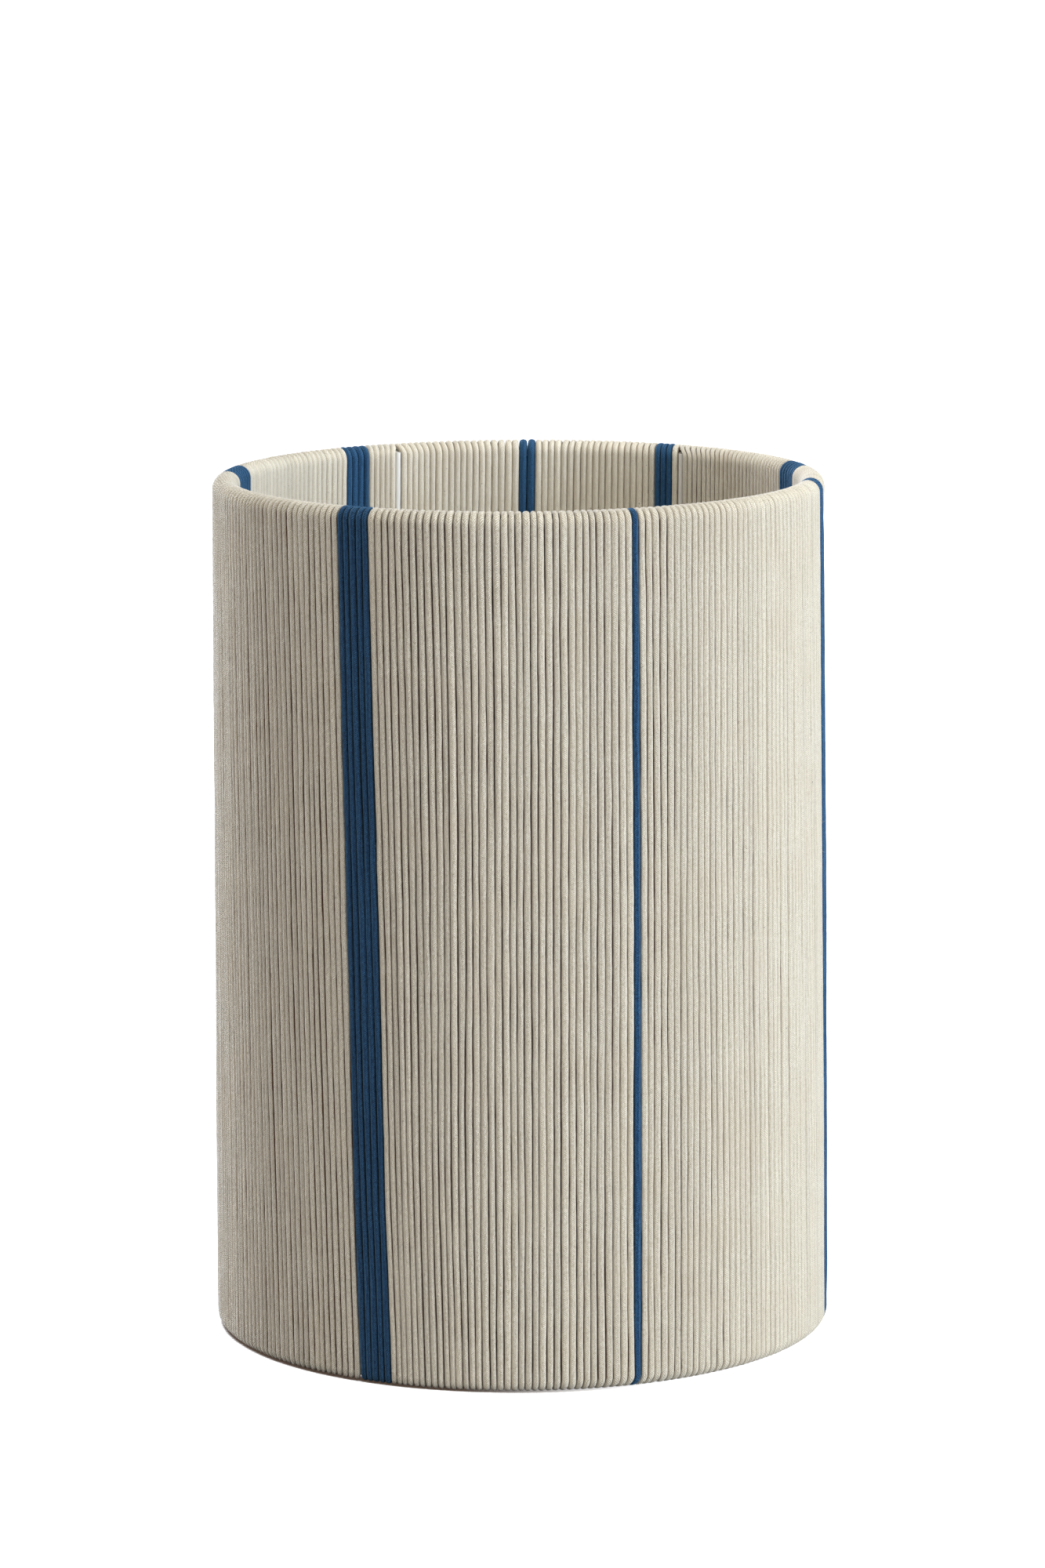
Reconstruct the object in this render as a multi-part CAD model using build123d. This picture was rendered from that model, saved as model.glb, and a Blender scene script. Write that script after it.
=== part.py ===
from build123d import *
import math
import os

# Cord-wound drum lampshade.
# A painted wire frame (two rings, six struts, a bottom fitting on three arms)
# wound all round with 3 mm braided cotton cord. Every turn of cord runs up the
# outside, over the top ring, down the inside and under the bottom ring.
# Frame of the part: origin at the centre of the foot rim, +Z up, millimetres.
# Angles are in degrees round +Z, measured from -Y (the front) towards +X.

# ---- driving dimensions -------------------------------------------------
HEIGHT = 350.0          # over the cord, top rim to foot rim
TOP_D = 248.0           # over the cord at the top
FOOT_D = 252.0          # over the cord at the foot: the drum opens by 4 mm
CORD_D = 3.0            # braided cotton cord, nominal
CORD_T = 2.95           # thickness of a wound layer, pulled tight
RING_WIRE_D = 4.0       # top and bottom ring wire
STRUT_WIRE_D = 2.5      # upright wire
ARM_WIRE_D = 3.0        # fitting arm wire
RIM_R = 5.0             # outside radius of the cord where it turns on a ring
FOOT_FLAT = 0.15        # the foot rim is pressed flat by this much
STRUT_SLOT_W = 3.0      # gap in the inner cord layer at each strut
WELD_SINK = 0.12        # how far resistance-welded wires sink together

CARRIER_BORE_D = 41.0   # takes the 40 mm threaded skirt of an E27 lampholder
CARRIER_D = 56.0
CARRIER_T = 1.5
CARRIER_Z = 38.0        # underside of the carrier ring
ARM_STRUT_Z = 14.0      # where an arm meets its strut
ARM_BEND_R = 34.0       # where an arm turns level over the carrier
ARM_TIP_R = 25.2        # it laps on the carrier's rim, outside a 50 mm shade ring
ARM_BEND_FILLET = 14.0

# Winding, in order round the drum: name, first edge at the top rim, turns of cord
SECTIONS = [
    ("cord_blue_front_left", -35.1, 5),
    ("cord_natural_front", -28.4, 36),
    ("cord_blue_front_right", 20.85, 1),
    ("cord_natural_front_right", 22.15, 41),
    ("cord_blue_right", 77.7, 3),
    ("cord_natural_right", 81.85, 14),
    ("cord_blue_back_right", 101.5, 6),
    ("cord_natural_back_right", 110.1, 27),
    ("cord_blue_rear_narrow", 146.4, 3),
    ("cord_natural_rear_right", 150.4, 19),
    ("cord_blue_rear_centre", 176.4, 2),
    ("cord_natural_rear_left", 179.8, 24),
    ("cord_blue_rear_wide", 212.7, 4),
    ("cord_natural_back_left", 218.7, 25),
    ("cord_blue_left", 253.6, 7),
    ("cord_natural_left", 263.5, 45),
]
# The winding leans a little, as hand-wound work does. The table gives how far
# the cords shift round the drum from the top rim to the foot, in degrees.
LEAN = [(-96.5, 3.5), (-90.0, 3.6), (-70.0, 4.2), (-50.0, 4.8), (-35.1, 3.8), (-28.4, 3.5),
        (-20.0, 2.0), (-10.0, 0.3), (0.0, -0.3), (10.0, -0.3), (20.85, 0.0),
        (45.0, 0.0), (60.0, 1.0), (77.7, 3.3), (81.85, 3.5), (101.5, 3.5),
        (146.0, 2.6), (180.0, 2.0), (213.0, 2.1), (240.0, 2.8), (263.5, 3.5)]
# Struts: angle at the top ring. The ones in ARM_STRUTS carry the fitting.
STRUTS = [24.5, 84.0, 143.7, 206.0, 266.0, 323.0]
ARM_STRUTS = [0, 2, 4]

# ---- derived ------------------------------------------------------------
RING_TOP_R = TOP_D / 2 - RIM_R              # 119
RING_FOOT_R = FOOT_D / 2 - RIM_R            # 121
RING_TOP_Z = HEIGHT - RIM_R                 # 345
RING_FOOT_Z = RIM_R - FOOT_FLAT             # 4.85
VOID_R = RIM_R - CORD_T                     # 2.05, the space the ring wire lies in
RUN = RING_TOP_Z - RING_FOOT_Z


def lean(a):
    """Shift from the top rim to the foot at top angle a, in degrees."""
    while a > 263.5:
        a -= 360.0
    while a < -96.5:
        a += 360.0
    for (a0, d0), (a1, d1) in zip(LEAN, LEAN[1:]):
        if a0 <= a <= a1:
            return d0 + (d1 - d0) * (a - a0) / (a1 - a0)
    raise ValueError(a)


def at(a, r, z):
    """Point at angle a, radius r, height z."""
    t = math.radians(a)
    return Vector(r * math.sin(t), -r * math.cos(t), z)


def ring_r(z):
    """Radius of the frame's centre surface at height z."""
    return RING_FOOT_R + (RING_TOP_R - RING_FOOT_R) * (z - RING_FOOT_Z) / RUN


def wind_profile(a):
    """Section of the wound wall in the half plane at angle a: a hollow racetrack."""
    # local x is outwards, local y is up
    x_dir = at(a, 1, 0)
    plane = Plane(origin=(0, 0, 0), x_dir=x_dir, z_dir=x_dir.cross(Vector(0, 0, 1)))
    length = math.hypot(RUN, RING_FOOT_R - RING_TOP_R)
    tilt = math.degrees(math.atan2(RUN, RING_TOP_R - RING_FOOT_R))
    mid = ((RING_TOP_R + RING_FOOT_R) / 2, (RING_TOP_Z + RING_FOOT_Z) / 2)
    outer = Pos(*mid) * SlotCenterToCenter(length, 2 * RIM_R, rotation=tilt)
    inner = Pos(*mid) * SlotCenterToCenter(length, 2 * VOID_R, rotation=tilt)
    return plane * (outer - inner)


def edge_plane(a, keep_ahead):
    """Plane that parts two neighbouring sections at top angle a."""
    b = a + lean(a)
    top = at(a, RING_TOP_R, HEIGHT)
    foot = at(b, RING_FOOT_R, 0)
    radial = at((a + b) / 2, 1, 0)
    normal = (top - foot).cross(radial)
    ahead = at((a + b) / 2 + 90, 1, 0)
    if (normal.dot(ahead) < 0) == keep_ahead:
        normal = normal * -1
    return Plane(origin=(top + foot) * 0.5, x_dir=radial, z_dir=normal)


def wire(points, d, fillets=None):
    """Round wire along a path of points."""
    path = FilletPolyline(*points, radius=fillets) if fillets else Polyline(*points)
    start = points[0]
    section = Plane(origin=start, z_dir=points[1] - points[0]) * Circle(d / 2)
    return sweep(section, path=path)


def strut_line(i, sink=WELD_SINK):
    """Ends of strut i's centre line, just inside the two rings."""
    a = STRUTS[i]
    off = RING_WIRE_D / 2 + STRUT_WIRE_D / 2 - sink
    top = at(a, RING_TOP_R - off, RING_TOP_Z)
    foot = at(a + lean(a), RING_FOOT_R - off, RING_FOOT_Z)
    return foot, top


def straight(p, q, d):
    """Straight round bar from p to q."""
    pl = Plane(origin=p, z_dir=q - p)
    return pl * Cylinder(d / 2, (q - p).length, align=(Align.CENTER, Align.CENTER, Align.MIN))


# ---- frame rings --------------------------------------------------------
top_ring = Pos(0, 0, RING_TOP_Z) * Torus(RING_TOP_R, RING_WIRE_D / 2)
foot_ring = Pos(0, 0, RING_FOOT_Z) * Torus(RING_FOOT_R, RING_WIRE_D / 2)

# ---- struts -------------------------------------------------------------
STRUT_OVER = 1.5        # a strut passes each ring's centre by this much
struts = []
strut_axes = []
for i in range(len(STRUTS)):
    foot, top = strut_line(i)
    u = (top - foot).normalized()
    p, q = foot - u * STRUT_OVER, top + u * STRUT_OVER
    strut_axes.append((p, q, u))
    bar = straight(p, q, STRUT_WIRE_D)
    struts.append(bar - top_ring - foot_ring)

# ---- fitting: carrier ring and three arms ----------------------------------
carrier = Pos(0, 0, CARRIER_Z) * Cylinder(CARRIER_D / 2, CARRIER_T,
                                          align=(Align.CENTER, Align.CENTER, Align.MIN))
carrier -= Pos(0, 0, CARRIER_Z) * Cylinder(CARRIER_BORE_D / 2, CARRIER_T,
                                           align=(Align.CENTER, Align.CENTER, Align.MIN))
outer_edges = [e for e in carrier.edges().filter_by(GeomType.CIRCLE)
               if e.radius > CARRIER_D / 2 - 1]
carrier = fillet(outer_edges, 0.3)

arms = []
arm_clear = {}
for n, i in enumerate(ARM_STRUTS):
    p, q, u = strut_axes[i]
    k = (ARM_STRUT_Z - p.Z) / (q.Z - p.Z)
    s = p + (q - p) * k                         # on the strut's centre line
    a = math.degrees(math.atan2(s.X, -s.Y))
    level = CARRIER_Z + CARRIER_T + ARM_WIRE_D / 2 - WELD_SINK
    pts = [s, at(a, ARM_BEND_R, level), at(a, ARM_TIP_R, level)]
    arm = wire(pts, ARM_WIRE_D, ARM_BEND_FILLET)
    whole_strut = straight(p, q, STRUT_WIRE_D)
    arm = arm - whole_strut - carrier
    # keep the piece on the inner side of the strut
    arm = max(arm.solids(), key=lambda b: b.volume)
    arms.append(arm)
    out = (pts[0] - pts[1]).normalized()
    arm_clear[i] = straight(s - out * 8, s + out * 1.2, ARM_WIRE_D + 0.6)

# ---- winding ------------------------------------------------------------
slots = []
for i, (p, q, u) in enumerate(strut_axes):
    mid = (p + q) * 0.5
    radial = Vector(mid.X, mid.Y, 0).normalized()
    side = u.cross(radial).normalized()
    radial = side.cross(u).normalized()
    pl = Plane(origin=mid, x_dir=radial, z_dir=u)
    length = (q - p).length + 0.8
    # through the inner layer only: from inside the drum to just past the layer
    slots.append(pl * (Pos(-1.2, 0, 0) * Box(5.6, STRUT_SLOT_W, length)))

sections = {}
names = [s[0] for s in SECTIONS]
for n, (name, a0, turns) in enumerate(SECTIONS):
    a1 = SECTIONS[n + 1][1] if n + 1 < len(SECTIONS) else SECTIONS[0][1] + 360.0
    lo = min(a0, a0 + lean(a0)) - 3.0
    hi = max(a1, a1 + lean(a1)) + 3.0
    body = revolve(wind_profile(lo), Axis.Z, hi - lo)
    body = split(body, bisect_by=edge_plane(a0, True), keep=Keep.TOP)
    body = split(body, bisect_by=edge_plane(a1, False), keep=Keep.TOP)
    foot_cut = Pos(0, 0, -5) * Cylinder(200, 10)
    body = body - foot_cut
    for i, cutter in enumerate(slots):
        b = STRUTS[i]
        for s in (b, b - 360.0):
            if a0 - 8 < s < a1 + 8:
                body = body - cutter
                if i in arm_clear:
                    body = body - arm_clear[i]
    solids = body.solids()
    sections[name] = solids[0] if len(solids) == 1 else Compound(children=list(solids))
    print(name, "turns", turns, "from", round(a0, 2), "to", round(a1, 2), "solids", len(solids),
          "volume", round(body.volume))

# ---- export -------------------------------------------------------------
os.makedirs("parts", exist_ok=True)
export_step(top_ring, "parts/top_ring.step")
export_step(foot_ring, "parts/bottom_ring.step")
for i, s in enumerate(struts):
    export_step(s, "parts/strut_%d.step" % (i + 1))
export_step(carrier, "parts/lampholder_carrier_ring.step")
for i, s in enumerate(arms):
    export_step(s, "parts/fitting_arm_%d.step" % (i + 1))
for name, s in sections.items():
    export_step(s, "parts/%s.step" % name)
print("turns of cord", sum(s[2] for s in SECTIONS))
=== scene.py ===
import math

import bpy
import numpy as np
from mathutils import Matrix, Vector


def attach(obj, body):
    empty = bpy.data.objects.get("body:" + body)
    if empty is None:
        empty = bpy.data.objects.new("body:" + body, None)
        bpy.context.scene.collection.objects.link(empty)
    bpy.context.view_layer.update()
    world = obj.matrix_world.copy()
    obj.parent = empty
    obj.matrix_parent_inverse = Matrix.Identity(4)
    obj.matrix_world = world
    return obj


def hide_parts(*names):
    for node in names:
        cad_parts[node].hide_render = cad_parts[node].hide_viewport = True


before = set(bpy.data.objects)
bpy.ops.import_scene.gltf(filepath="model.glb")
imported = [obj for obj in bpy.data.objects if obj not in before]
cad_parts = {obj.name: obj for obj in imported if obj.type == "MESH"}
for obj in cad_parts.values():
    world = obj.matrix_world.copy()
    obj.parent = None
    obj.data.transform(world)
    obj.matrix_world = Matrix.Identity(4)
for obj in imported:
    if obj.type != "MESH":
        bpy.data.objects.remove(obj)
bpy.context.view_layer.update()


MM = 0.001

# ------------------------------------------------------------------ light settings
# soft studio surroundings: name, direction, how narrow, strength, colour
LOBES = [
    ("all", (0, 0, 1), 0, 0.07, (1.05, 0.98, 0.96)),
    ("back_left_a", (-0.4951, 0.8576, 0.1392), 20, 8.2, (0.80, 1.0, 1.42)),
    ("back_left_b", (-0.7002, 0.7002, 0.1392), 20, 8.2, (0.90, 1.0, 1.20)),
    ("back_left_c", (-0.8576, 0.4951, 0.1392), 20, 5.0, (1.02, 0.97, 1.04)),
    ("front_right", (0.8576, -0.4951, 0.1392), 12, 6.6, (0.91, 1.0, 1.16)),
    ("high_right", (0.5255, -0.5255, 0.6691), 8, 1.33, (1.05, 1.02, 0.92)),
    ("high_left", (-0.5255, -0.5255, 0.6691), 8, 0.9, (1.14, 0.98, 0.86)),
]
FLOOR_GLOW, FLOOR_GLOW_SEEN = 0.02, 1.0
KEY_POWER, KEY_COLOR = 46.0, (0.90, 0.99, 1.17)
TOP_POWER, TOP_COLOR = 84.0, (1.0, 1.0, 0.96)
RNG = np.random.default_rng(4177)

# ------------------------------------------------------------------ the winding
# Dimensions of the drum in millimetres, as in the CAD model. Angles are degrees
# round +Z from the front (-Y) towards +X.
HEIGHT, TOP_R, FOOT_R, RIM_R = 350.0, 124.0, 126.0, 5.0
CORD_HALF = 1.475
RING_TOP_Z, RING_FOOT_Z = HEIGHT - RIM_R, RIM_R - 0.15
RING_TOP_R, RING_FOOT_R = TOP_R - RIM_R, FOOT_R - RIM_R
TURN_R = RIM_R - CORD_HALF

# name of the CAD node, first edge at the top rim, turns, blue?
SECTIONS = [
    ("cord_blue_front_left", -35.1, 5, 1),
    ("cord_natural_front", -28.4, 36, 0),
    ("cord_blue_front_right", 20.85, 1, 1),
    ("cord_natural_front_right", 22.15, 41, 0),
    ("cord_blue_right", 77.7, 3, 1),
    ("cord_natural_right", 81.85, 14, 0),
    ("cord_blue_back_right", 101.5, 6, 1),
    ("cord_natural_back_right", 110.1, 27, 0),
    ("cord_blue_rear_narrow", 146.4, 3, 1),
    ("cord_natural_rear_right", 150.4, 19, 0),
    ("cord_blue_rear_centre", 176.4, 2, 1),
    ("cord_natural_rear_left", 179.8, 24, 0),
    ("cord_blue_rear_wide", 212.7, 4, 1),
    ("cord_natural_back_left", 218.7, 25, 0),
    ("cord_blue_left", 253.6, 7, 1),
    ("cord_natural_left", 263.5, 45, 0),
]
LEAN = [(-96.5, 3.5), (-90.0, 3.6), (-70.0, 4.2), (-50.0, 4.8), (-35.1, 3.8), (-28.4, 3.5),
        (-20.0, 2.0), (-10.0, 0.3), (0.0, -0.3), (10.0, -0.3), (20.85, 0.0),
        (45.0, 0.0), (60.0, 1.0), (77.7, 3.3), (81.85, 3.5), (101.5, 3.5),
        (146.0, 2.6), (180.0, 2.0), (213.0, 2.1), (240.0, 2.8), (263.5, 3.5)]
STRUTS = [24.5, 84.0, 143.7, 206.0, 266.0, 323.0]
TURNS = sum(s[2] for s in SECTIONS)


def lean(a):
    a = np.asarray(a, float)
    w = np.mod(a + 96.5, 360.0) - 96.5
    return np.interp(w, [p[0] for p in LEAN], [p[1] for p in LEAN])


def smooth_over_turns(x, width):
    """Blurs along the first axis, round the whole drum."""
    n = x.shape[0]
    k = np.arange(-3 * width, 3 * width + 1)
    w = np.exp(-0.5 * (k / width) ** 2)
    w /= np.sqrt((w ** 2).sum())
    out = np.zeros_like(x)
    for kk, ww in zip(k, w):
        out += ww * np.roll(x, kk, axis=0)
    return out


# ---- where the grooves between the turns run, on the outside
NZ = 13
hz = np.linspace(0.0, 1.0, NZ)                      # 0 at the top, 1 at the foot
groove_top = np.zeros(TURNS + 1)
section_of = np.zeros(TURNS, int)
k = 0
for i, (name, a0, n, blue) in enumerate(SECTIONS):
    a1 = SECTIONS[i + 1][1] if i + 1 < len(SECTIONS) else SECTIONS[0][1] + 360.0
    w = 1 + 0.048 * RNG.standard_normal(n)
    w /= w.sum()
    groove_top[k:k + n + 1] = a0 + (a1 - a0) * np.concatenate([[0], np.cumsum(w)])
    section_of[k:k + n] = i
    k += n
groove_top[TURNS] = groove_top[0] + 360.0

# a groove's own wander down the drum: slow, shared with its neighbours, and a little of its own
shared = smooth_over_turns(RNG.standard_normal((TURNS, 5)), 4)
own = RNG.standard_normal((TURNS, 7))
fine = RNG.standard_normal((TURNS, 26))
open_slow = RNG.standard_normal((TURNS, 5))
open_fine = RNG.standard_normal((TURNS, 34))


def along(table, t):
    """Smooth curve through each row's values at positions t from 0 to 1."""
    n = table.shape[1]
    x = np.clip(t, 0, 1) * (n - 1)
    i = np.clip(np.floor(x).astype(int), 0, n - 2)
    f = x - i
    g = lambda j: table[:, np.clip(j, 0, n - 1)]
    p0, p1, p2, p3 = g(i - 1), g(i), g(i + 1), g(i + 2)
    return 0.5 * (2 * p1 + (p2 - p0) * f + (2 * p0 - 5 * p1 + 4 * p2 - p3) * f ** 2
                  + (3 * p1 - p0 - 3 * p2 + p3) * f ** 3)


def grooves_out(t):
    """Groove angles outside at depth fractions t: shape (TURNS + 1, len(t))."""
    base = groove_top[:TURNS, None] + lean(groove_top[:TURNS])[:, None] * t[None, :]
    g = base + 0.11 * along(shared, t) + 0.065 * along(own, t) + 0.030 * along(fine, t)
    return np.concatenate([g, g[:1] + 360.0], axis=0)


# ---- inside: the same turns, kept clear of the six struts
centre_top = 0.5 * (groove_top[1:] + groove_top[:-1])
HALF_STRUT = 1.35        # degrees from a strut's centre to the nearest cord's centre
MIN_STEP = 1.262
# the turns that lie between two struts, by the angle that parts them at the top
PART = [24.9, 84.4, 144.6, 206.3, 266.4, 323.3]
strut_foot = [a + float(lean(a)) for a in STRUTS]


def inner_centres():
    """Cord centres inside at the top ring and at the foot ring, in degrees."""
    out = []
    for end in (0, 1):
        ring = STRUTS if end == 0 else strut_foot
        want = centre_top + (0.0 if end == 0 else lean(centre_top) + 0.75)
        got = want.copy()
        for i in range(6):
            lo, hi = PART[i], PART[(i + 1) % 6] + (360.0 if i == 5 else 0.0)
            a = np.mod(centre_top - lo, 360.0)
            inside = np.where(a < hi - lo)[0]
            order = inside[np.argsort(a[inside])]
            p = want[order].copy()
            first = ring[i]
            last = ring[(i + 1) % 6] + (360.0 if i == 5 else 0.0)
            p = first + np.mod(p - first + 180.0, 360.0) - 180.0
            p = np.where(p < first - 5, p + 360.0, p)
            lo_lim, hi_lim = first + HALF_STRUT, last - HALF_STRUT
            step = min(MIN_STEP, (hi_lim - lo_lim) / (len(p) - 1) * 0.999)
            p[0] = max(p[0], lo_lim)
            for j in range(1, len(p)):
                p[j] = max(p[j], p[j - 1] + step)
            p[-1] = min(p[-1], hi_lim)
            for j in range(len(p) - 2, -1, -1):
                p[j] = min(p[j], p[j + 1] - step)
            # the turns beside a strut are pushed up against it
            k = min(12, len(p) // 2)
            fade = np.linspace(1.0, 0.0, k + 1)[:-1]
            p[:k] -= max(0.0, p[0] - lo_lim) * fade
            p[-k:] += max(0.0, hi_lim - p[-1]) * fade[::-1]
            # keep the branch near the outside angle
            ref = want[order]
            p = ref + np.mod(p - ref + 180.0, 360.0) - 180.0
            got[order] = p
        out.append(got)
    return out


in_top, in_foot = inner_centres()
shared_in = smooth_over_turns(RNG.standard_normal((TURNS, 5)), 3)
own_in = RNG.standard_normal((TURNS, 6))
fine_in = RNG.standard_normal((TURNS, 22))
proud = RNG.standard_normal((TURNS, 5))             # how far a turn stands out of the layer
proud_in = RNG.standard_normal((TURNS, 5))


# ---- one turn's path, sampled
N_OUT, N_TURN, N_IN = 168, 13, 168
t_out = np.linspace(1.0, 0.0, N_OUT)                # foot to top
t_in = np.linspace(0.0, 1.0, N_IN)                  # top to foot
g_out = grooves_out(t_out)
mm_deg = 180.0 / (math.pi * 122.7)                  # one millimetre round the outside, in degrees
facing = np.mod(groove_top[:TURNS] + 180.0, 360.0) - 180.0
air = np.interp(facing, [-180, -95, -60, -30, 0, 22, 40, 80, 100, 180],
                [0.06, 0.08, 0.14, 0.16, 0.15, 0.09, 0.0, -0.03, 0.04, 0.06])
groove_air = air[:, None] + 0.085 * along(open_slow, t_out) + 0.035 * along(open_fine, t_out)
groove_air = np.clip(groove_air, -0.12, 0.36)
groove_air = np.concatenate([groove_air, groove_air[:1]], axis=0) * mm_deg
lo_edge = g_out[:-1] + 0.5 * groove_air[:-1]
hi_edge = g_out[1:] - 0.5 * groove_air[1:]
step_out = hi_edge - lo_edge
th_out = 0.5 * (hi_edge + lo_edge)

base_in = in_top[:, None] * (1 - t_in)[None] + in_foot[:, None] * t_in[None]
near = np.min(np.abs(np.mod(base_in[:, :1] - np.array(STRUTS)[None, :] + 180, 360) - 180), axis=1)
calm = np.clip((near - 1.6) / 2.5, 0.0, 1.0)[:, None]   # turns beside a strut lie straight
edge = np.sin(np.pi * t_in) ** 0.5
th_in = base_in + calm * edge[None] * (0.085 * along(shared_in, t_in) + 0.05 * along(own_in, t_in)
                                       + 0.02 * along(fine_in, t_in))
REAR = np.array([SECTIONS[s][0] == "cord_blue_rear_centre" for s in section_of])
ra, rb = np.where(REAR)[0]
mid_rear = 0.5 * (th_in[ra] + th_in[rb])
slack = 0.5 * (1.66 + 0.04) * 2 / 115.5 * 180 / math.pi
th_in[ra] = mid_rear - slack - 0.035 * along(own_in[ra:ra + 1], t_in)[0]
th_in[rb] = mid_rear + slack + 0.035 * along(own_in[rb:rb + 1], t_in)[0]
nxt = np.roll(th_in, -1, axis=0)
nxt[-1] += 360.0
prv = np.roll(th_in, 1, axis=0)
prv[0] -= 360.0
step_in = np.minimum(nxt - th_in, th_in - prv)

z_out = RING_TOP_Z * (1 - t_out) + RING_FOOT_Z * t_out
z_in = RING_TOP_Z * (1 - t_in) + RING_FOOT_Z * t_in
r_ring_out = RING_TOP_R * (1 - t_out) + RING_FOOT_R * t_out
r_ring_in = RING_TOP_R * (1 - t_in) + RING_FOOT_R * t_in


def rad(deg):
    return np.radians(deg)


def build_paths():
    """Arrays over (turn, sample): angle, radius, height, normal in the (radial, up) plane,
    half width round the drum. A turn starts under the foot ring, goes up outside, over the
    top ring, down inside, and ends under the foot ring, where the next turn takes over."""
    bump_o = 0.13 * along(proud, t_out) * np.sin(np.pi * t_out)[None] ** 0.3
    bump_i = 0.08 * along(proud_in, t_in) * np.sin(np.pi * t_in)[None] ** 0.3 * calm
    w_out = rad(step_out) * (r_ring_out + TURN_R)[None] / 2
    w_in = rad(step_in) * (r_ring_in - TURN_R)[None] / 2
    hb_out = np.clip(w_out, 1.16, 1.54)
    hb_in = np.clip(w_in + 0.05, 1.15, 1.52)
    # the two turns at the back centre are pulled flat and wide apart
    hb_out[REAR] = np.clip(w_out[REAR] - 0.06, 1.3, 1.74)
    hb_in[REAR] = 1.66
    # squeezed turns stand proud
    r_o = (r_ring_out + TURN_R)[None] + bump_o + 0.35 * np.clip(1.40 - hb_out, 0, 1)
    r_i = (r_ring_in - TURN_R)[None] - bump_i - 0.10 * np.clip(1.34 - hb_in, 0, 1)
    blue_right = np.array([SECTIONS[s][0] == "cord_blue_right" for s in section_of])
    past = np.array([SECTIONS[s][0] == "cord_natural_right" for s in section_of])
    past &= centre_top < 92.0
    ramp = np.clip(np.minimum(t_out, 1 - t_out) / 0.06, 0, 1)
    ramp = ramp * ramp * (3 - 2 * ramp)
    r_o[blue_right] += 0.40 * ramp[None]
    r_o[past] -= 0.75 * ramp[None]
    one = np.ones((TURNS, 1))
    # where turn k meets turn k + 1, at the lowest point
    nxt_out = np.concatenate([th_out[1:, :1], th_out[:1, :1] + 360.0], axis=0)
    meet = 0.5 * (th_in[:, -1:] + nxt_out)
    met = np.concatenate([meet[-1:] - 360.0, meet[:-1]], axis=0)
    nxt_hb = np.concatenate([hb_out[1:, :1], hb_out[:1, :1]], axis=0)
    hb_meet = np.minimum(0.5 * (hb_in[:, -1:] + nxt_hb), 1.44)
    hb_met = np.concatenate([hb_meet[-1:], hb_meet[:-1]], axis=0)
    th, r, z, nr, nz, hb = [], [], [], [], [], []
    q = np.linspace(np.pi / 2, np.pi, N_TURN // 2 + 2)[:-1]
    f = (q - np.pi / 2) / (np.pi / 2)
    f = np.sin(f * np.pi / 2)
    dr1 = r_o[:, :1] - (RING_FOOT_R + TURN_R)
    # from under the foot ring to the outside
    th.append(met * (1 - f)[None] + th_out[:, :1] * f[None])
    r.append(RING_FOOT_R - (TURN_R + dr1) * np.cos(q)[None] * one)
    z.append(RING_FOOT_Z - TURN_R * np.sin(q)[None] * one)
    nr.append(-one * np.cos(q)[None]); nz.append(-one * np.sin(q)[None])
    hb.append(hb_met * (1 - f)[None] + hb_out[:, :1] * f[None])
    # outside, going up
    th.append(th_out); r.append(r_o); z.append(one * z_out[None])
    nr.append(one * np.ones(N_OUT)[None]); nz.append(one * np.zeros(N_OUT)[None]); hb.append(hb_out)
    # over the top ring
    a = np.linspace(0, np.pi, N_TURN + 2)[1:-1]
    f = np.clip((a - 1.7) / (3.10 - 1.7), 0, 1)
    f = f * f * (3 - 2 * f)
    th.append(th_out[:, -1:] * (1 - f)[None] + th_in[:, :1] * f[None])
    dr0 = r_o[:, -1:] - (RING_TOP_R + TURN_R)
    r.append(RING_TOP_R + (TURN_R + dr0) * np.cos(a)[None] * one)
    z.append(RING_TOP_Z + (TURN_R + 0.5 * dr0) * np.sin(a)[None] * one)
    nr.append(one * np.cos(a)[None]); nz.append(one * np.sin(a)[None])
    narrow = 1 - 0.04 * np.sin(a)[None] ** 2
    hb.append((hb_out[:, -1:] * (1 - f)[None] + hb_in[:, :1] * f[None]) * narrow)
    # inside, going down
    th.append(th_in); r.append(r_i); z.append(one * z_in[None])
    nr.append(-one * np.ones(N_IN)[None]); nz.append(one * np.zeros(N_IN)[None]); hb.append(hb_in)
    # under the foot ring, to where the next turn starts
    q = np.linspace(0, np.pi / 2, N_TURN // 2 + 2)[1:]
    f = 1 - np.cos(q)
    th.append(th_in[:, -1:] * (1 - f)[None] + meet * f[None])
    r.append(RING_FOOT_R - TURN_R * np.cos(q)[None] * one)
    z.append(RING_FOOT_Z - TURN_R * np.sin(q)[None] * one)
    nr.append(-one * np.cos(q)[None]); nz.append(-one * np.sin(q)[None])
    hb.append(hb_in[:, -1:] * (1 - f)[None] + hb_meet * f[None])
    cat = lambda parts: np.concatenate(parts, axis=1)
    return [cat(x) for x in (th, r, z, nr, nz, hb)]


TH, RR, ZZ, NR, NZN, HB = build_paths()
PER = TH.shape[1]                                   # samples in one turn
# how open the groove on either side of a turn is, 0 to 1: the material paints that much shade into the groove, with
# extra painted shade on the inner turns between 110 and 140 degrees
OPEN = np.full((TURNS, PER, 2), 0.35)
OPEN += np.where(RR < 118.5, np.interp(np.mod(TH, 360.0), [0, 95, 110, 140, 160, 360],
                                       [0, 0, 0.5, 0.5, 0, 0]), 0.0)[:, :, None]
n0 = N_TURN // 2 + 1
OPEN[:, n0:n0 + N_OUT, 0] = np.clip(groove_air[:-1] / mm_deg / 0.14, 0, 1)
OPEN[:, n0:n0 + N_OUT, 1] = np.clip(groove_air[1:] / mm_deg / 0.14, 0, 1)
SIDES = 16
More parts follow.
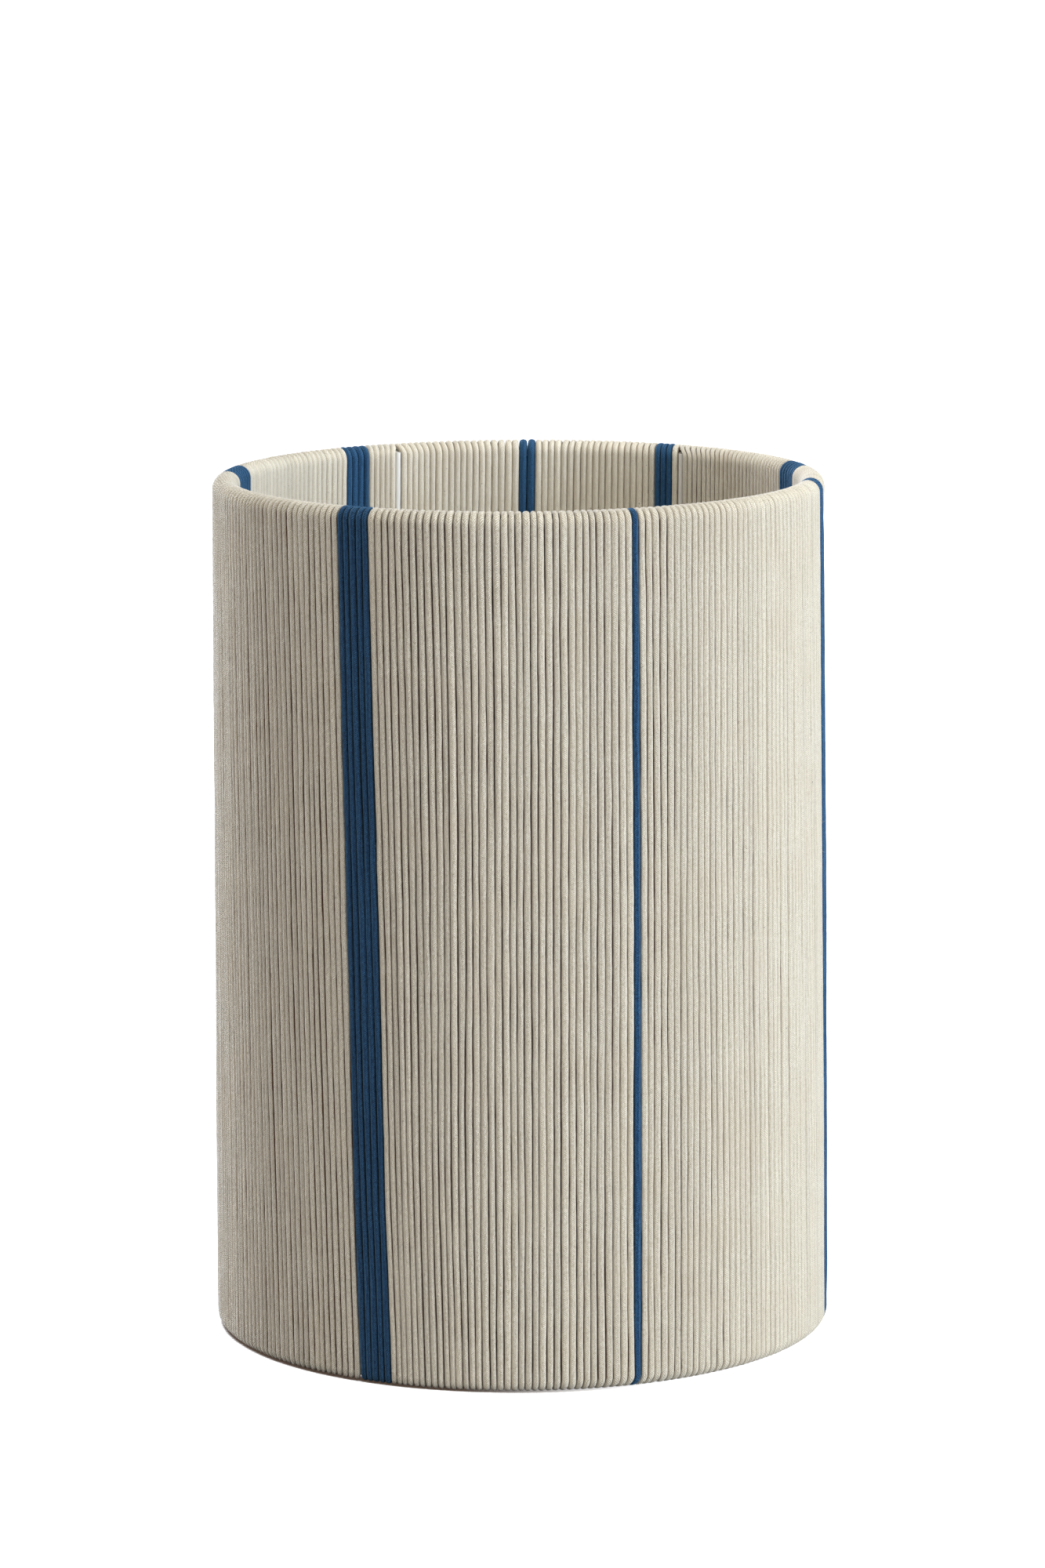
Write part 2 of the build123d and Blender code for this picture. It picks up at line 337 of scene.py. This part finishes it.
# closer together at the corners of the pressed section
phi = np.linspace(0, 2 * np.pi, SIDES, endpoint=False)
turn_tint = RNG.random(TURNS)
FIBRES = 110                                        # loose cotton fibres standing out of each turn


def fibre_mesh(centre, normal, across, hn, hb, rng, count):
    """Short bent cotton fibres rooted in the cord: closed three-sided spikes."""
    m = len(centre)
    n = FIBRES * count
    i = rng.integers(2, m - 2, n)
    ph = rng.normal(0.0, 0.75, n)
    ph = np.clip(ph, -1.45, 1.45)
    cn, sn = np.cos(ph), np.sin(ph)
    out = normal[i] * cn[:, None] + across[i] * sn[:, None]
    root = centre[i] + normal[i] * (hn[i] * cn)[:, None] + across[i] * (hb[i] * sn)[:, None] - out * 0.16
    tang = centre[i + 1] - centre[i - 1]
    tang /= np.linalg.norm(tang, axis=1)[:, None]
    way = rng.normal(0, 1, n)[:, None] * tang + 0.6 * rng.normal(0, 1, n)[:, None] * np.cross(tang, out)
    way /= np.maximum(np.linalg.norm(way, axis=1), 1e-6)[:, None]
    length = np.clip(rng.exponential(0.55, n) + 0.35, 0.35, 2.4)
    lift = rng.uniform(0.25, 0.9, n)
    mid = root + out * (0.55 * length * lift + 0.14)[:, None] + way * (0.45 * length)[:, None]
    tip = mid + out * (0.45 * length * (lift - 0.5))[:, None] + way * (0.6 * length)[:, None] \
        + rng.normal(0, 0.12, (n, 3)) * length[:, None]
    side1 = np.cross(out, way)
    side1 /= np.maximum(np.linalg.norm(side1, axis=1), 1e-6)[:, None]
    side2 = np.cross(side1, out)
    rad0 = rng.uniform(0.026, 0.040, n)
    rings = []
    for base, rr in ((root, rad0), (mid, rad0 * 0.8)):
        for w in (0.0, 2 * np.pi / 3, 4 * np.pi / 3):
            rings.append(base + (side1 * math.cos(w) + side2 * math.sin(w)) * rr[:, None])
    v = np.stack(rings + [tip], 1)                  # (n, 7, 3)
    v[..., 2] = np.clip(v[..., 2], 0.0, None)
    tri = np.array([[0, 2, 1], [0, 1, 4], [0, 4, 3], [1, 2, 5], [1, 5, 4], [2, 0, 3], [2, 3, 5],
                    [3, 4, 6], [4, 5, 6], [5, 3, 6]])
    f = (np.arange(n)[:, None, None] * 7 + tri[None]).reshape(-1, 3)
    return v.reshape(-1, 3), f, i, ph


def cord_mesh(name, first, count):
    """One length of cord: turns first .. first + count - 1, closed at both ends."""
    rng = np.random.default_rng(9000 + first)
    rows = [x[first:first + count].reshape(-1) for x in (TH, RR, ZZ, NR, NZN, HB)]
    th, r, z, nr, nz, hb = rows
    tint = np.repeat(turn_tint[first:first + count], PER)
    m = len(th)
    t = rad(th)
    rx, ry = np.sin(t), -np.cos(t)                  # outwards
    cx, cy = np.cos(t), np.sin(t)                   # round the drum
    centre = np.stack([r * rx, r * ry, z], -1)
    normal = np.stack([nr * rx, nr * ry, nz], -1)
    across = np.stack([cx, cy, np.zeros(m)], -1)
    seg = np.linalg.norm(np.diff(centre, axis=0), axis=1)
    s = np.concatenate([[0], np.cumsum(seg)])
    # swellings and flats along the cord, and small lumps all over it
    swell = rng.normal(0, 1, m)
    swell = np.convolve(np.pad(swell, 3, mode="edge"), np.array([1, 3, 6, 7, 6, 3, 1]) / 27.0, "valid") * 2.2
    hn = CORD_HALF * (1 + 0.012 * swell)
    hw = hb * (1 + 0.012 * swell)
    c, sn = np.cos(phi), np.sin(phi)
    # rounder where the turns lie loose, flatter where they are pressed together
    face = np.mod(th + 180.0, 360.0) - 180.0
    e = np.interp(face, [-180, -100, -60, -30, 0, 30, 50, 100, 180],
                  [0.88, 1.0, 1.0, 0.92, 0.86, 0.84, 0.80, 0.78, 0.88])
    e = np.where(nr < -0.3, 1.0, e)[:, None]
    cc = np.sign(c)[None] * np.abs(c)[None] ** e
    ss = np.sign(sn)[None] * np.abs(sn)[None] ** e
    lump = rng.normal(0, 1, (m, SIDES))
    lump = 0.5 * lump + 0.25 * (np.roll(lump, 1, 1) + np.roll(lump, 1, 0))
    lump = 0.030 * lump
    P = (centre[:, None, :] + normal[:, None, :] * ((hn[:, None] + lump) * cc)[..., None]
         + across[:, None, :] * ((hw[:, None] + 0.5 * lump) * ss)[..., None])
    P[..., 2] = np.maximum(P[..., 2], 0.0)
    verts = P.reshape(-1, 3)
    caps = np.stack([centre[0], centre[-1]])
    caps[:, 2] = np.maximum(caps[:, 2], 0.0)
    nv = len(verts) + 2
    ring = np.arange(SIDES)
    a = (np.arange(m - 1)[:, None] * SIDES + ring[None, :])
    b = (np.arange(m - 1)[:, None] * SIDES + (ring[None, :] + 1) % SIDES)
    quads = np.stack([a, b, b + SIDES, a + SIDES], -1).reshape(-1, 4)
    tri0 = np.stack([np.full(SIDES, nv - 2), (ring + 1) % SIDES, ring], -1)
    off = (m - 1) * SIDES
    tri1 = np.stack([np.full(SIDES, nv - 1), off + ring, off + (ring + 1) % SIDES], -1)
    fv, ff, fi, fph = fibre_mesh(centre, normal, across, hn, hw, rng, count)
    verts = np.concatenate([verts, caps, fv], 0) * MM
    tris = np.concatenate([tri0, tri1, ff + nv], 0)
    nq, nt = len(quads), len(tris)
    loops = np.concatenate([quads.reshape(-1), tris.reshape(-1)])
    starts = np.concatenate([np.arange(nq) * 4, nq * 4 + np.arange(nt) * 3])
    totals = np.concatenate([np.full(nq, 4), np.full(nt, 3)])
    me = bpy.data.meshes.new(name)
    me.vertices.add(len(verts))
    me.vertices.foreach_set("co", verts.astype(np.float32).reshape(-1))
    me.loops.add(len(loops))
    me.loops.foreach_set("vertex_index", loops.astype(np.int32))
    me.polygons.add(nq + nt)
    me.polygons.foreach_set("loop_start", starts.astype(np.int32))
    me.polygons.foreach_set("loop_total", totals.astype(np.int32))
    me.polygons.foreach_set("use_smooth", np.ones(nq + nt, bool))
    me.update(calc_edges=True)
    # u round the cord, v along it in metres
    uq = np.stack([ring, ring + 1, ring + 1, ring], -1) / SIDES
    u = np.tile(uq[None], (m - 1, 1, 1)).reshape(-1)
    v = np.stack([np.repeat(s[:-1], SIDES), np.repeat(s[:-1], SIDES),
                  np.repeat(s[1:], SIDES), np.repeat(s[1:], SIDES)], -1).reshape(-1) * MM
    uv = np.zeros((len(loops), 2), np.float32)
    uv[:nq * 4, 0] = u
    uv[:nq * 4, 1] = v
    fu = np.repeat(np.mod(fph / (2 * np.pi), 1.0), 30)
    fv_ = np.repeat(s[fi] * MM, 30)
    uv[-len(fu):, 0] = fu
    uv[-len(fu):, 1] = fv_
    layer = me.uv_layers.new(name="Cord")
    layer.data.foreach_set("uv", uv.reshape(-1))
    at = me.attributes.new("turn_tint", "FLOAT", "POINT")
    vals = np.concatenate([np.repeat(tint, SIDES), tint[[0, -1]], np.repeat(tint[fi], 7)]).astype(np.float32)
    at.data.foreach_set("value", vals)
    # how open each groove is, as the strength of the painted groove shade
    op = OPEN[first:first + count].reshape(-1, 2)
    side_open = np.where(sn[None, :] < -1e-6, op[:, :1], np.where(sn[None, :] > 1e-6, op[:, 1:], op.mean(1)[:, None]))
    at = me.attributes.new("groove_shade_by_gap", "FLOAT", "POINT")
    vals = np.concatenate([side_open.reshape(-1), [0.3, 0.3], np.full(7 * len(fi), 0.3)]).astype(np.float32)
    at.data.foreach_set("value", vals)
    # painted light and shade by angle: inside, lighter between 100 and 150 degrees and darker between 215 and 300;
    # outside, lighter at the left edge and a little darker at the back, and the blue turns lighter at 19 to 26 and 74
    # to 84 degrees
    painted_light_bias = np.interp(np.mod(th, 360.0), [0, 100, 150, 180, 215, 240, 262, 300, 360],
                     [0.0, 0.07, 0.08, 0.01, -0.03, -0.13, -0.18, -0.10, 0.0])
    painted_light_bias = 1.0 + painted_light_bias * np.clip((119.5 - r) / 3.0, 0.0, 1.0)
    grazing_light_paint = np.interp(face, [-180, -125, -108, -90, -76, -66, -56, 110, 130, 180],
                     [0.92, 0.92, 1.0, 1.20, 1.16, 1.08, 1.0, 1.0, 0.92, 0.92])
    if "blue" in name:
        grazing_light_paint = np.interp(face, [0, 19, 26, 74, 84, 100], [1.0, 1.24, 1.24, 1.36, 1.36, 1.0])
    painted_light_bias = painted_light_bias * (1.0 + (grazing_light_paint - 1.0) * np.clip((r - 119.5) / 3.0, 0.0, 1.0))
    at = me.attributes.new("pale", "FLOAT", "POINT")
    vals = np.concatenate([np.repeat(painted_light_bias, SIDES), painted_light_bias[[0, -1]], np.repeat(painted_light_bias[fi], 7)]).astype(np.float32)
    at.data.foreach_set("value", vals)
    # how rough the braid is, by side: it sets the bump depth, and also how much painted shade the braid and the
    # grooves get, less on the right, where the lamps face it, and more on the left
    nap_and_side_shade = np.interp(face, [-180, -100, -60, -20, 20, 50, 100, 180],
                    [1.0, 1.8, 1.7, 1.35, 1.2, 0.75, 0.6, 1.0])
    nap_and_side_shade_in = np.interp(np.mod(th, 360.0), [0, 95, 110, 140, 160, 360], [1.0, 1.0, 1.7, 1.7, 1.0, 1.0])
    nap_and_side_shade = nap_and_side_shade + (nap_and_side_shade_in - nap_and_side_shade) * np.clip((119.5 - r) / 3.0, 0.0, 1.0)
    at = me.attributes.new("nap_and_side_shade", "FLOAT", "POINT")
    vals = np.concatenate([np.repeat(nap_and_side_shade, SIDES), nap_and_side_shade[[0, -1]], np.repeat(nap_and_side_shade[fi], 7)]).astype(np.float32)
    at.data.foreach_set("value", vals)
    # 1 on the inner side of the wall, 0 outside: the material gives the inner turns a shallower bump, softer braid
    # contrast and painted light that makes them lighter
    inner = np.clip((119.5 - r) / 3.0, 0.0, 1.0)
    at = me.attributes.new("inner", "FLOAT", "POINT")
    vals = np.concatenate([np.repeat(inner, SIDES), inner[[0, -1]], np.repeat(inner[fi], 7)]).astype(np.float32)
    at.data.foreach_set("value", vals)
    me.validate()
    ob = bpy.data.objects.new(name, me)
    bpy.context.scene.collection.objects.link(ob)
    return ob


# ------------------------------------------------------------------ materials
def new_material(name):
    m = bpy.data.materials.new(name)
    m.use_nodes = True
    nt = m.node_tree
    nt.nodes.clear()
    out = nt.nodes.new("ShaderNodeOutputMaterial")
    bsdf = nt.nodes.new("ShaderNodeBsdfPrincipled")
    nt.links.new(bsdf.outputs["BSDF"], out.inputs["Surface"])
    return m, nt, bsdf, out


def math_node(nt, op, a, b=None, c=None, clamp=False):
    n = nt.nodes.new("ShaderNodeMath")
    n.operation = op
    n.use_clamp = clamp
    for i, v in enumerate((a, b, c)):
        if v is None:
            continue
        if isinstance(v, (int, float)):
            n.inputs[i].default_value = v
        else:
            nt.links.new(v, n.inputs[i])
    return n.outputs[0]


def map_range(nt, v, a, b, c, d, smooth=False):
    n = nt.nodes.new("ShaderNodeMapRange")
    n.interpolation_type = "SMOOTHSTEP" if smooth else "LINEAR"
    nt.links.new(v, n.inputs["Value"])
    for key, val in (("From Min", a), ("From Max", b), ("To Min", c), ("To Max", d)):
        n.inputs[key].default_value = val
    return n.outputs["Result"]


def mix_color(nt, fac, a, b, blend="MIX"):
    n = nt.nodes.new("ShaderNodeMix")
    n.data_type = "RGBA"
    n.blend_type = blend
    n.clamp_factor = True
    for sock, v in ((n.inputs[0], fac), (n.inputs[6], a), (n.inputs[7], b)):
        if isinstance(v, (int, float)):
            sock.default_value = v
        elif isinstance(v, tuple):
            sock.default_value = (*v, 1.0)
        else:
            nt.links.new(v, sock)
    return n.outputs[2]


def noise(nt, vec, scale, detail=2.0, rough=0.5):
    n = nt.nodes.new("ShaderNodeTexNoise")
    n.inputs["Scale"].default_value = scale
    n.inputs["Detail"].default_value = detail
    n.inputs["Roughness"].default_value = rough
    nt.links.new(vec, n.inputs["Vector"])
    return n.outputs["Fac"]


def srgb(r, g, b):
    f = lambda c: (c / 255 / 12.92) if c / 255 <= 0.04045 else ((c / 255 + 0.055) / 1.055) ** 2.4
    return (f(r), f(g), f(b))


def cord_material(name, deep, mid, light, warm, groove, tint_amount, sheen_tint, sheen):
    """Braided cotton: plaited strokes in columns round the cord, fibres, slubs and specks."""
    m, nt, bsdf, out = new_material(name)
    uvn = nt.nodes.new("ShaderNodeUVMap"); uvn.uv_map = "Cord"
    sep = nt.nodes.new("ShaderNodeSeparateXYZ")
    nt.links.new(uvn.outputs["UV"], sep.inputs[0])
    u, v = sep.outputs[0], sep.outputs[1]
    obj = nt.nodes.new("ShaderNodeTexCoord").outputs["Object"]
    tint = nt.nodes.new("ShaderNodeAttribute")
    tint.attribute_name = "turn_tint"
    tint = tint.outputs["Fac"]
    inner = nt.nodes.new("ShaderNodeAttribute")
    inner.attribute_name = "inner"
    inner = inner.outputs["Fac"]
    groove_shade_amount = nt.nodes.new("ShaderNodeAttribute")
    groove_shade_amount.attribute_name = "groove_shade_by_gap"
    groove_shade_amount = groove_shade_amount.outputs["Fac"]
    # plaited strokes: 6 columns round the cord, leaning left and right in turn
    slow = noise(nt, obj, 110.0, 2.0, 0.6)
    twist = math_node(nt, "MULTIPLY", math_node(nt, "SUBTRACT", noise(nt, obj, 35.0, 1.0, 0.5), 0.5), 0.35)
    col = math_node(nt, "MULTIPLY", math_node(nt, "ADD", math_node(nt, "ADD", u, twist), 2.0), 6.0)
    ci = math_node(nt, "FLOOR", col)
    cf = math_node(nt, "FRACT", col)
    sign = math_node(nt, "SUBTRACT", math_node(nt, "MULTIPLY", math_node(nt, "MODULO", ci, 2.0), 2.0), 1.0)
    vs = math_node(nt, "ADD", math_node(nt, "MULTIPLY", v, 1000.0 / 0.74),
                   math_node(nt, "MULTIPLY", slow, 3.5))
    lean_ = math_node(nt, "MULTIPLY", math_node(nt, "MULTIPLY", cf, sign), 1.6)
    ph = math_node(nt, "ADD", vs, lean_)
    stroke = math_node(nt, "ABSOLUTE", math_node(nt, "SINE", math_node(nt, "MULTIPLY", ph, math.pi)))
    column = math_node(nt, "POWER", math_node(nt, "SINE", math_node(nt, "MULTIPLY", cf, math.pi)), 0.6)
    plait = math_node(nt, "MULTIPLY", stroke, math_node(nt, "ADD", math_node(nt, "MULTIPLY", column, 0.55), 0.45))
    # fibres along the strokes, and fuzz
    fib = nt.nodes.new("ShaderNodeCombineXYZ")
    nt.links.new(math_node(nt, "MULTIPLY", u, 30.0), fib.inputs[0])
    nt.links.new(math_node(nt, "MULTIPLY", v, 1100.0), fib.inputs[1])
    nt.links.new(math_node(nt, "MULTIPLY", tint, 37.0), fib.inputs[2])
    fibre = noise(nt, fib.outputs[0], 0.8, 3.0, 0.7)
    fuzz = noise(nt, obj, 1150.0, 4.0, 0.8)
    height = math_node(nt, "ADD", math_node(nt, "MULTIPLY", plait, 0.46),
                       math_node(nt, "ADD", math_node(nt, "MULTIPLY", fibre, 0.55),
                                 math_node(nt, "MULTIPLY", fuzz, 0.60)))
    bump = nt.nodes.new("ShaderNodeBump")
    bump.inputs["Strength"].default_value = 1.0
    nap_and_side_shade = nt.nodes.new("ShaderNodeAttribute")
    nap_and_side_shade.attribute_name = "nap_and_side_shade"
    nt.links.new(math_node(nt, "MULTIPLY", map_range(nt, inner, 0.0, 1.0, 0.00036, 0.00024), nap_and_side_shade.outputs["Fac"]),
                 bump.inputs["Distance"])
    nt.links.new(height, bump.inputs["Height"])
    nt.links.new(bump.outputs["Normal"], bsdf.inputs["Normal"])
    # colour: painted shade in the braid's hollows and a painted highlight on its raised strokes, by the same height
    # as the bump, mixed with the fibres' own tone
    shade = map_range(nt, height, 0.52, 0.86, 0.0, 1.0)
    # inside, and on the right side facing the lamps, the painted braid shade is lifted, so those turns read lighter
    # and flatter
    shade = math_node(nt, "MAXIMUM", shade, math_node(nt, "MULTIPLY", inner, 0.72))
    shade = math_node(nt, "MAXIMUM", shade, map_range(nt, nap_and_side_shade.outputs["Fac"], 1.2, 0.6, 0.0, 0.60))
    c = mix_color(nt, shade, deep, mid)
    c = mix_color(nt, map_range(nt, height, 0.80, 1.05, 0.0, 0.9), c, light)
    # soft tufts and thin places, a millimetre or two long
    tuft = noise(nt, obj, 800.0, 2.0, 0.55)
    tuft_amount = math_node(nt, "MULTIPLY", map_range(nt, inner, 0.0, 1.0, 0.15, 0.10),
                            map_range(nt, nap_and_side_shade.outputs["Fac"], 0.6, 1.0, 0.4, 1.0))
    c = mix_color(nt, math_node(nt, "MULTIPLY", map_range(nt, tuft, 0.50, 0.30, 0.0, 1.0), tuft_amount), c, deep)
    c = mix_color(nt, math_node(nt, "MULTIPLY", map_range(nt, tuft, 0.54, 0.72, 0.0, 1.0), tuft_amount), c, light)
    # painted light: the inner turns are mixed a third of the way towards the light colour
    c = mix_color(nt, math_node(nt, "MULTIPLY", inner, 0.34), c, light)
    patch = noise(nt, obj, 42.0, 2.0, 0.5)
    c = mix_color(nt, map_range(nt, patch, 0.42, 0.66, 0.0, 0.30), c, warm)
    # painted shade: the sides, where a turn is pressed on the next, are painted darker in the groove colour, more
    # where the groove stands open and more on the side away from the lamps
    side = math_node(nt, "ABSOLUTE", math_node(nt, "SINE", math_node(nt, "MULTIPLY", u, 2 * math.pi)))
    sideways = math_node(nt, "ADD", side, math_node(nt, "MULTIPLY", math_node(nt, "SUBTRACT", slow, 0.5), 0.22))
    sideways = math_node(nt, "ADD", sideways,
                         math_node(nt, "MULTIPLY", math_node(nt, "SUBTRACT", nap_and_side_shade.outputs["Fac"], 1.15), 0.14))
    painted_groove_shade = math_node(nt, "MULTIPLY", map_range(nt, sideways, 0.84, 0.99, 0.0, 1.0, True),
                     map_range(nt, groove_shade_amount, 0.0, 1.0, 0.10, 1.0))
    c = mix_color(nt, painted_groove_shade, c, groove)
    warm_turn = map_range(nt, tint, 0.0, 1.0, 1.0 - tint_amount, 1.0 + tint_amount)
    hsv = nt.nodes.new("ShaderNodeHueSaturation")
    nt.links.new(c, hsv.inputs["Color"])
    # the pale attribute carries the painted light and shade by angle
    pale = nt.nodes.new("ShaderNodeAttribute")
    pale.attribute_name = "pale"
    nt.links.new(math_node(nt, "MULTIPLY", warm_turn, pale.outputs["Fac"]), hsv.inputs["Value"])
    c = hsv.outputs["Color"]
    # a few darker flecks of seed coat
    fleck = noise(nt, obj, 1050.0, 1.0, 0.4)
    c = mix_color(nt, map_range(nt, fleck, 0.765, 0.80, 0.0, 0.55), c, tuple(0.30 * x for x in deep))
    nt.links.new(c, bsdf.inputs["Base Color"])
    rough = map_range(nt, height, 0.4, 1.1, 0.95, 0.80)
    nt.links.new(rough, bsdf.inputs["Roughness"])
    bsdf.inputs["Specular IOR Level"].default_value = 0.2
    bsdf.inputs["Sheen Weight"].default_value = sheen
    bsdf.inputs["Sheen Roughness"].default_value = 0.5
    bsdf.inputs["Sheen Tint"].default_value = (*sheen_tint, 1.0)
    return m


natural = cord_material("natural_cotton", srgb(164, 148, 120), srgb(216, 209, 188), srgb(239, 234, 218),
                        srgb(208, 195, 171), srgb(98, 66, 36), 0.06, (1.0, 0.99, 0.96), 0.40)
blue = cord_material("blue_cotton", srgb(4, 18, 38), srgb(16, 49, 82), srgb(54, 100, 140),
                     srgb(19, 54, 90), srgb(1, 4, 12), 0.06, (0.30, 0.68, 1.0), 0.34)

paint, pnt, pb, _ = new_material("white_powder_coat")
pobj = pnt.nodes.new("ShaderNodeTexCoord").outputs["Object"]
orange = noise(pnt, pobj, 900.0, 2.0, 0.5)
pbump = pnt.nodes.new("ShaderNodeBump")
pbump.inputs["Strength"].default_value = 0.35
pbump.inputs["Distance"].default_value = 0.00006
pnt.links.new(orange, pbump.inputs["Height"])
pnt.links.new(pbump.outputs["Normal"], pb.inputs["Normal"])
pnt.links.new(mix_color(pnt, map_range(pnt, noise(pnt, pobj, 60.0, 3.0), 0.35, 0.7, 0.0, 1.0),
                        srgb(237, 237, 231), srgb(229, 228, 220)), pb.inputs["Base Color"])
pnt.links.new(map_range(pnt, noise(pnt, pobj, 240.0, 2.0), 0.3, 0.7, 0.34, 0.48), pb.inputs["Roughness"])
pb.inputs["Coat Weight"].default_value = 0.15
pb.inputs["Coat Roughness"].default_value = 0.3

# ------------------------------------------------------------------ pieces
PIECE_TURNS = 15
k = 0
for i, (node, a0, n, is_blue) in enumerate(SECTIONS):
    parts = max(1, math.ceil(n / PIECE_TURNS))
    cuts = [k + round(n * j / parts) for j in range(parts + 1)]
    for j in range(parts):
        label = node.replace("cord_", "wound_") + ("" if parts == 1 else "_%d" % (j + 1))
        ob = cord_mesh(label, cuts[j], cuts[j + 1] - cuts[j])
        ob.data.materials.append(blue if is_blue else natural)
        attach(ob, "root")
        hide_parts(node)
    k += n

for name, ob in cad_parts.items():
    if not name.startswith("cord_"):
        ob.data.materials.clear()
        ob.data.materials.append(paint)

# ------------------------------------------------------------------ stage
fm, fnt, fb, fout = new_material("pale_floor")
fb.inputs["Base Color"].default_value = (0.46, 0.46, 0.46, 1)
fb.inputs["Roughness"].default_value = 0.95
fb.inputs["Specular IOR Level"].default_value = 0.0
# a lit white table: it glows evenly from below, a little more to the camera than to the drum
glow = fnt.nodes.new("ShaderNodeEmission")
glow.name = "glow"
glow.inputs["Color"].default_value = (1, 1, 1, 1)
flp = fnt.nodes.new("ShaderNodeLightPath")
fnt.links.new(map_range(fnt, flp.outputs["Is Camera Ray"], 0.0, 1.0, FLOOR_GLOW, FLOOR_GLOW_SEEN),
              glow.inputs["Strength"])
fadd = fnt.nodes.new("ShaderNodeAddShader")
# painted contact shadow: a thin dark line on the table where the foot meets it, from an occlusion node
contact_shadow_ao = fnt.nodes.new("ShaderNodeAmbientOcclusion")
contact_shadow_ao.samples = 16
contact_shadow_ao.inputs["Distance"].default_value = 0.004
lit = map_range(fnt, contact_shadow_ao.outputs["AO"], 0.36, 0.58, 0.0, 1.0)
# the lamps at the right reach under the foot there, so the line fades out
fpos = fnt.nodes.new("ShaderNodeSeparateXYZ")
fnt.links.new(fnt.nodes.new("ShaderNodeTexCoord").outputs["Object"], fpos.inputs[0])
lit = math_node(fnt, "MAXIMUM", lit, map_range(fnt, fpos.outputs[0], -0.03, 0.075, 0.0, 1.0, True))
fnt.links.new(mix_color(fnt, lit, (0.060, 0.042, 0.030), (0.46, 0.46, 0.46)), fb.inputs["Base Color"])
fnt.links.new(mix_color(fnt, lit, (0.070, 0.048, 0.036), (1.0, 1.0, 1.0)), glow.inputs["Color"])
fnt.links.new(fb.outputs[0], fadd.inputs[0])
fnt.links.new(glow.outputs[0], fadd.inputs[1])
fnt.links.new(fadd.outputs[0], fout.inputs["Surface"])
bpy.ops.mesh.primitive_plane_add(size=60, location=(0, 0, -0.00002))
floor = bpy.context.object
floor.name = "floor"
floor.data.materials.append(fm)

# ------------------------------------------------------------------ camera
cam_data = bpy.data.cameras.new("camera")
cam = bpy.data.objects.new("camera", cam_data)
bpy.context.scene.collection.objects.link(cam)
D, Hc, PITCH, YAW, ROLL, FPX = 2.52222, 0.660254, 0.171905, 0.000429, -0.005041, 7992.68
fwd = Vector((math.sin(YAW) * math.cos(PITCH), math.cos(YAW) * math.cos(PITCH), -math.sin(PITCH)))
right = Vector((math.cos(YAW), -math.sin(YAW), 0.0))
up = right.cross(fwd)
c_, s_ = math.cos(ROLL), math.sin(ROLL)
right, up = c_ * right + s_ * up, -s_ * right + c_ * up
cam.matrix_world = Matrix(((right.x, up.x, -fwd.x, 0.0), (right.y, up.y, -fwd.y, -D),
                           (right.z, up.z, -fwd.z, Hc), (0, 0, 0, 1)))
cam_data.sensor_width = 36.0
cam_data.lens = FPX / 2000.0 * 36.0
cam_data.clip_end = 100.0
bpy.context.scene.camera = cam

# ------------------------------------------------------------------ light
world = bpy.data.worlds.new("studio")
bpy.context.scene.world = world
world.use_nodes = True
wnt = world.node_tree
wnt.nodes.clear()
wout = wnt.nodes.new("ShaderNodeOutputWorld")
wtc = wnt.nodes.new("ShaderNodeTexCoord")
total = None
for name, way, power, strength, color in LOBES:
    bg = wnt.nodes.new("ShaderNodeBackground")
    bg.name = "lobe_" + name
    bg.inputs["Color"].default_value = (*color, 1.0)
    if power == 0:
        bg.inputs["Strength"].default_value = strength
    else:
        dot = wnt.nodes.new("ShaderNodeVectorMath")
        dot.operation = "DOT_PRODUCT"
        wnt.links.new(wtc.outputs["Generated"], dot.inputs[0])
        dot.inputs[1].default_value = Vector(way).normalized()
        f = math_node(wnt, "POWER", math_node(wnt, "MAXIMUM", dot.outputs["Value"], 0.0), power)
        wnt.links.new(math_node(wnt, "MULTIPLY", f, strength), bg.inputs["Strength"])
    if total is None:
        total = bg.outputs[0]
    else:
        add = wnt.nodes.new("ShaderNodeAddShader")
        wnt.links.new(total, add.inputs[0])
        wnt.links.new(bg.outputs[0], add.inputs[1])
        total = add.outputs[0]
seen = wnt.nodes.new("ShaderNodeBackground")
seen.inputs["Color"].default_value = (1, 1, 1, 1)
seen.inputs["Strength"].default_value = 1.1
path = wnt.nodes.new("ShaderNodeLightPath")
mixs = wnt.nodes.new("ShaderNodeMixShader")
wnt.links.new(path.outputs["Is Camera Ray"], mixs.inputs[0])
wnt.links.new(total, mixs.inputs[1])
wnt.links.new(seen.outputs[0], mixs.inputs[2])
wnt.links.new(mixs.outputs[0], wout.inputs["Surface"])


def area(name, loc, target, size, power, color):
    d = bpy.data.lights.new(name, "AREA")
    d.shape = "RECTANGLE"
    d.size, d.size_y = size
    d.energy = power
    d.color = color
    o = bpy.data.objects.new(name, d)
    o.location = loc
    o.rotation_euler = (Vector(target) - Vector(loc)).to_track_quat("-Z", "Y").to_euler()
    bpy.context.scene.collection.objects.link(o)
    return o


area("key", (4.2, -1.8, 2.8), (0, 0, 0.2), (2.0, 2.8), KEY_POWER, KEY_COLOR)
area("top", (0.4, -0.6, 4.6), (0, 0, 0.2), (3.2, 3.2), TOP_POWER, TOP_COLOR)

scene = bpy.context.scene
scene.view_settings.view_transform = "Standard"
scene.view_settings.look = "None"
scene.view_settings.exposure = 0.0
scene.view_settings.gamma = 1.0
scene.cycles.use_denoising = True
scene.cycles.denoising_input_passes = "RGB_ALBEDO_NORMAL"
scene.cycles.denoising_prefilter = "NONE"          # keeps the braid
scene.cycles.max_bounces = 8
scene.cycles.diffuse_bounces = 5
